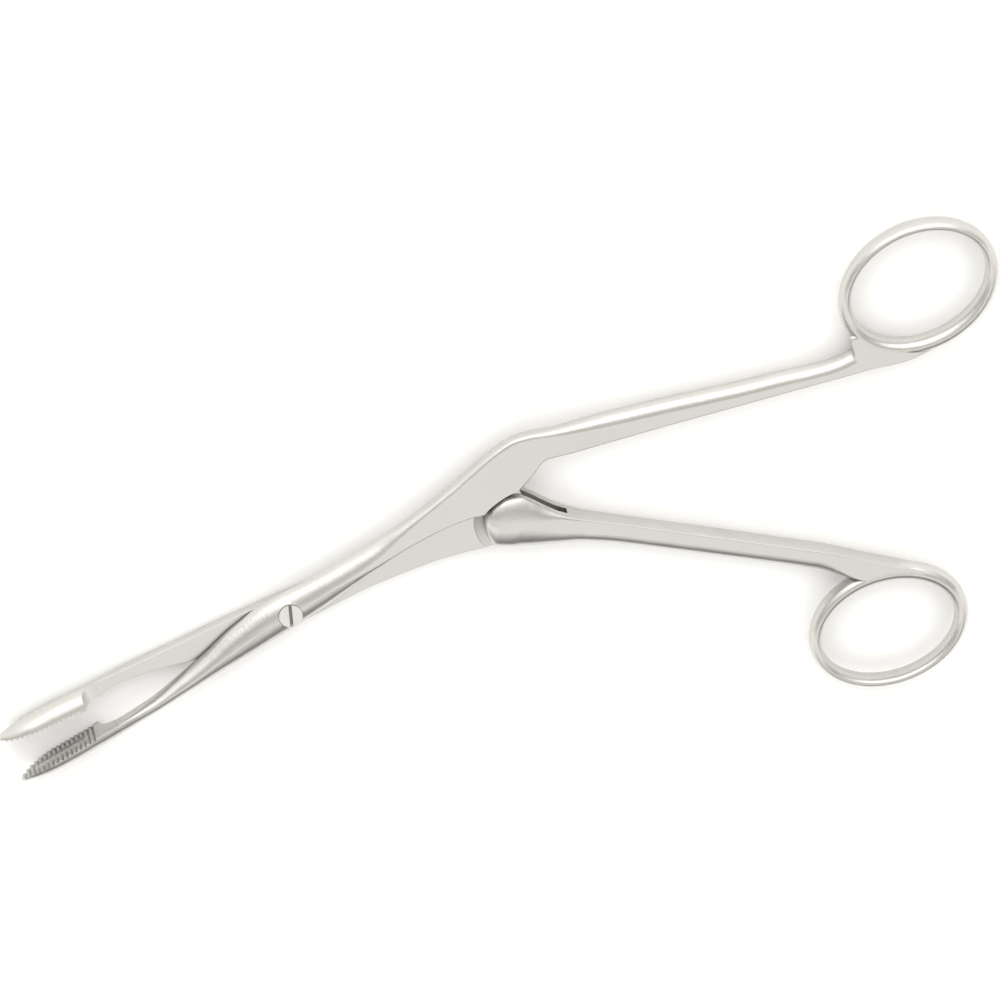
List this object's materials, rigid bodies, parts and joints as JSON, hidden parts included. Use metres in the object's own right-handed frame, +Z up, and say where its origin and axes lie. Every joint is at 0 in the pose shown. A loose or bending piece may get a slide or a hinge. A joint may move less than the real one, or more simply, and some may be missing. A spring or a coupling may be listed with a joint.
{
  "type": "nasal dressing forceps",
  "caption": "Long slender ring-handled forceps with angled shanks, serrated jaws on a screw pivot and a hinged ring handle that drives the moving jaw.",
  "frame": {"origin": "where the axis of the pivot screw meets the flat back of the instrument", "axes": "+Z up along the pivot screw, out of its slotted head; -X towards the tips of the jaws, +X towards the thumb ring; +Y towards the outer side of the fixed lever"},
  "size_m": [0.2042, 0.0837, 0.0067],
  "materials": {
    "lever_steel": "satin",
    "screw_steel": "satin",
    "pin_steel": "satin"
  },
  "bodies": {
    "fixed": {"fixed_lever": "lever_steel"},
    "jaw": {"jaw_lever": "lever_steel", "pivot_screw": "screw_steel"},
    "handle": {"ring_handle": "lever_steel", "hinge_pin": "pin_steel", "drive_pin": "pin_steel"}
  },
  "joints": [
    {"name": "handle_hinge", "type": "hinge", "parent": "fixed", "child": "handle", "pos_m": [0.0439, -0.0072, 0], "axis": [0, 0, 1], "range_deg": [-4, 31]},
    {"name": "jaw_pivot", "type": "hinge", "parent": "fixed", "child": "jaw", "pos_m": [0, 0, 0], "axis": [0, 0, 1], "range_deg": [-0.96, 7.41]}
  ],
  "couplings": [
    {"joint": "jaw_pivot", "follows": "handle_hinge", "ratio": 0.23871}
  ]
}
